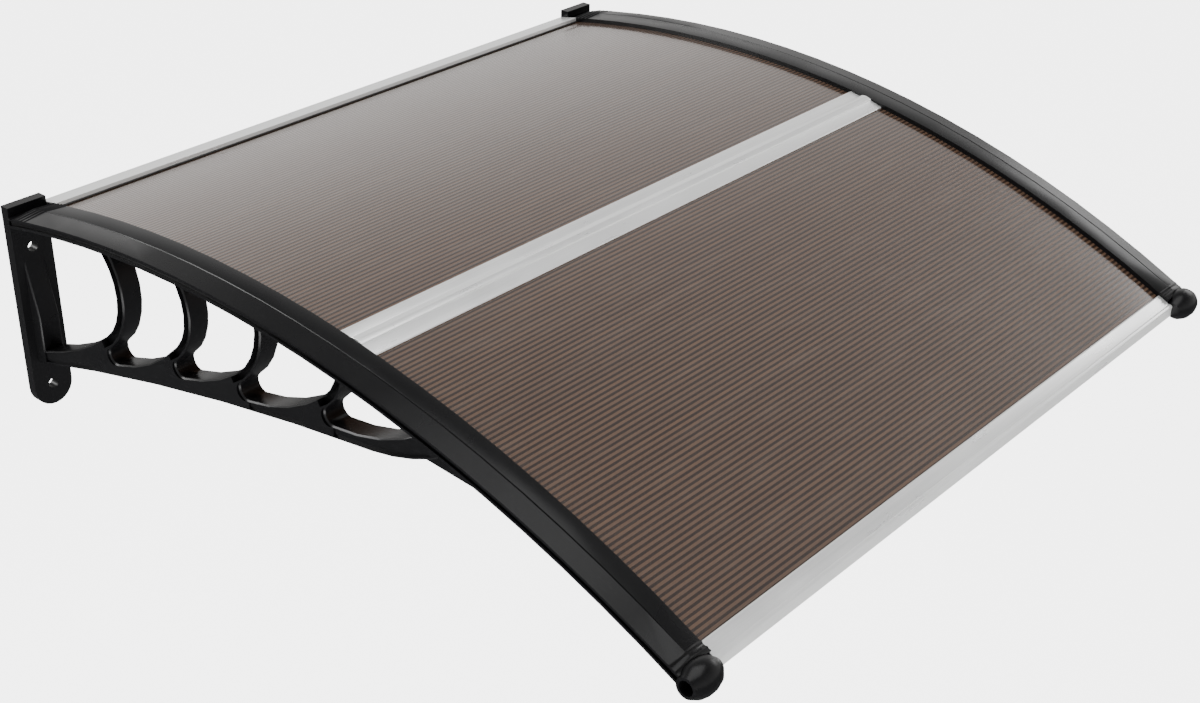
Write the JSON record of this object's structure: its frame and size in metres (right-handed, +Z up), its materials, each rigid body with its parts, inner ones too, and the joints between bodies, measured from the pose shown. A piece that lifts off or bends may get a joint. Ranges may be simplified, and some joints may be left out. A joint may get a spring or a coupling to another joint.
{
  "type": "door canopy",
  "caption": "Arched door canopy, 1.0 m wide, with two bronze twin-wall sheets, aluminium rails, black openwork brackets and cover strips.",
  "frame": {"origin": "on the wall rail's flat back, midway between the brackets, at the height where the sheet's top surface meets the wall", "axes": "+X along the wall to the right seen from the front, +Y into the wall, -Y out from the wall, +Z up"},
  "size_m": [0.9998, 0.9974, 0.28],
  "materials": {
    "black_plastic": "black moulded plastic with a fine satin grain",
    "bronze_sheet": "bronze tinted twin-wall sheet, glossy and slightly see-through",
    "aluminium": "satin extruded aluminium",
    "rubber": "black rubber seal",
    "zinc_steel": "zinc plated steel"
  },
  "bodies": {
    "root": {"left_bracket": "black_plastic", "right_bracket": "black_plastic", "left_cover": "black_plastic", "right_cover": "black_plastic", "rear_sheet": "bronze_sheet", "front_sheet": "bronze_sheet", "rear_rail": "aluminium", "rear_seal": "rubber", "middle_strip": "aluminium", "front_rail": "aluminium", "left_screw_1": "zinc_steel", "left_screw_2": "zinc_steel", "left_screw_3": "zinc_steel", "left_screw_4": "zinc_steel", "left_screw_5": "zinc_steel", "left_screw_6": "zinc_steel", "left_screw_7": "zinc_steel", "right_screw_1": "zinc_steel", "right_screw_2": "zinc_steel", "right_screw_3": "zinc_steel", "right_screw_4": "zinc_steel", "right_screw_5": "zinc_steel", "right_screw_6": "zinc_steel", "right_screw_7": "zinc_steel"}
  },
  "joints": []
}
